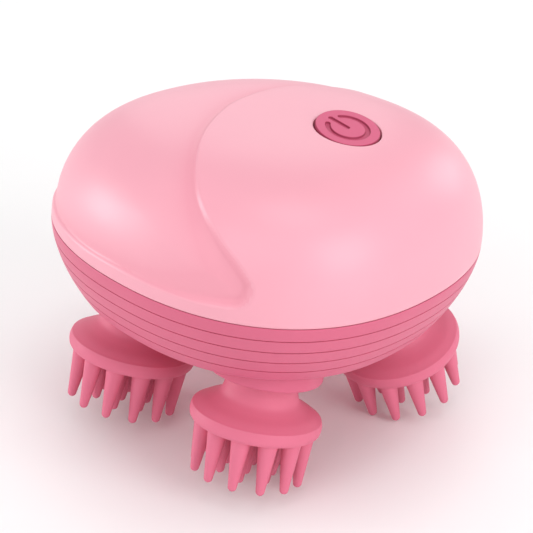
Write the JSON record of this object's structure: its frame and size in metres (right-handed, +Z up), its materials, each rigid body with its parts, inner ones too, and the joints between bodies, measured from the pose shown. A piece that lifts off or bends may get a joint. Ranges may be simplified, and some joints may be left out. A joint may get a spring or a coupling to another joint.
{
  "type": "scalp massager brush",
  "caption": "Palm-held scalp massager with an egg-shaped two-tone shell, a press button and turning silicone heads with blunt fingers.",
  "frame": {"origin": "middle of the footprint, on the surface the finger tips stand on", "axes": "+Z up, +Y along a row of heads towards the back, +X across the rows to the right"},
  "size_m": [0.0994, 0.1052, 0.085],
  "materials": {
    "light_shell": "satin, smooth moulded",
    "rose_shell": "satin, smooth moulded, four fine grooves",
    "silicone": "soft matt silicone",
    "button": "satin with an engraved power symbol",
    "inner_plastic": "natural moulded gears and inserts",
    "dark_plastic": "fine moulded grain",
    "seal_rubber": "matt",
    "steel": "turned and drawn",
    "bronze": "sintered",
    "battery_wrap": "shrink film",
    "circuit_board": "solder mask",
    "contact_gold": "plated"
  },
  "bodies": {
    "housing": {"top_shell": "light_shell", "lower_shell": "rose_shell", "shell_seal": "seal_rubber", "shaft_seal_front_left": "seal_rubber", "shaft_bush_front_left": "bronze", "shaft_seal_back_left": "seal_rubber", "shaft_bush_back_left": "bronze", "shaft_seal_front_right": "seal_rubber", "shaft_bush_front_right": "bronze", "shaft_seal_back_right": "seal_rubber", "shaft_bush_back_right": "bronze", "idler_axle_left": "steel", "idler_axle_right": "steel", "gear_plate": "dark_plastic", "plate_screw_1": "steel", "plate_screw_2": "steel", "plate_screw_3": "steel", "plate_screw_4": "steel", "motor_can": "steel", "battery_tray": "dark_plastic", "battery_cell": "battery_wrap", "board_bracket": "dark_plastic", "circuit_board": "circuit_board", "tact_switch": "dark_plastic", "charging_contact_1": "contact_gold", "charging_contact_2": "contact_gold"},
    "head_front_left": {"massage_head_front_left": "silicone", "head_hub_front_left": "inner_plastic", "head_shaft_front_left": "steel", "head_gear_front_left": "inner_plastic"},
    "head_back_left": {"massage_head_back_left": "silicone", "head_hub_back_left": "inner_plastic", "head_shaft_back_left": "steel", "head_gear_back_left": "inner_plastic"},
    "head_front_right": {"massage_head_front_right": "silicone", "head_hub_front_right": "inner_plastic", "head_shaft_front_right": "steel", "head_gear_front_right": "inner_plastic"},
    "head_back_right": {"massage_head_back_right": "silicone", "head_hub_back_right": "inner_plastic", "head_shaft_back_right": "steel", "head_gear_back_right": "inner_plastic"},
    "idler_left": {"idler_gear_left": "inner_plastic"},
    "idler_right": {"idler_gear_right": "inner_plastic"},
    "motor_rotor": {"motor_shaft": "steel", "motor_pinion": "bronze"},
    "button": {"power_button": "button"}
  },
  "joints": [
    {"name": "head_front_left_spin", "type": "hinge", "parent": "housing", "child": "head_front_left", "pos_m": [-0.02412, -0.02025, 0.01953], "axis": [0.2755, 0.0335, 0.9607], "continuous": true},
    {"name": "head_back_left_spin", "type": "hinge", "parent": "housing", "child": "head_back_left", "pos_m": [-0.02412, 0.02375, 0.01953], "axis": [0.2755, -0.0335, 0.9607], "continuous": true},
    {"name": "head_front_right_spin", "type": "hinge", "parent": "housing", "child": "head_front_right", "pos_m": [0.02388, -0.02025, 0.01953], "axis": [-0.2755, 0.0335, 0.9607], "continuous": true},
    {"name": "head_back_right_spin", "type": "hinge", "parent": "housing", "child": "head_back_right", "pos_m": [0.02388, 0.02375, 0.01953], "axis": [-0.2755, -0.0335, 0.9607], "continuous": true},
    {"name": "idler_left_spin", "type": "hinge", "parent": "housing", "child": "idler_left", "pos_m": [-0.02412, 0.00175, 0.01953], "axis": [0.2756, 0, 0.9613], "continuous": true},
    {"name": "idler_right_spin", "type": "hinge", "parent": "housing", "child": "idler_right", "pos_m": [0.02388, 0.00175, 0.01953], "axis": [-0.2756, 0, 0.9613], "continuous": true},
    {"name": "motor_spin", "type": "hinge", "parent": "housing", "child": "motor_rotor", "pos_m": [-0.00012, 0.00175, 0.04953], "axis": [0, 0, 1], "continuous": true},
    {"name": "power_button_press", "type": "slide", "parent": "housing", "child": "button", "axis": [0.1, -0.06, 0.9932], "range_m": [-0.0008, 0], "stiffness_N_per_m": 500}
  ],
  "couplings": [
    {"joint": "head_back_left_spin", "follows": "head_front_left_spin", "ratio": 1},
    {"joint": "head_front_right_spin", "follows": "head_front_left_spin", "ratio": 1},
    {"joint": "head_back_right_spin", "follows": "head_front_left_spin", "ratio": 1},
    {"joint": "idler_left_spin", "follows": "head_front_left_spin", "ratio": -1.3333},
    {"joint": "idler_right_spin", "follows": "head_front_left_spin", "ratio": -1.3333},
    {"joint": "motor_spin", "follows": "head_front_left_spin", "ratio": 2}
  ]
}
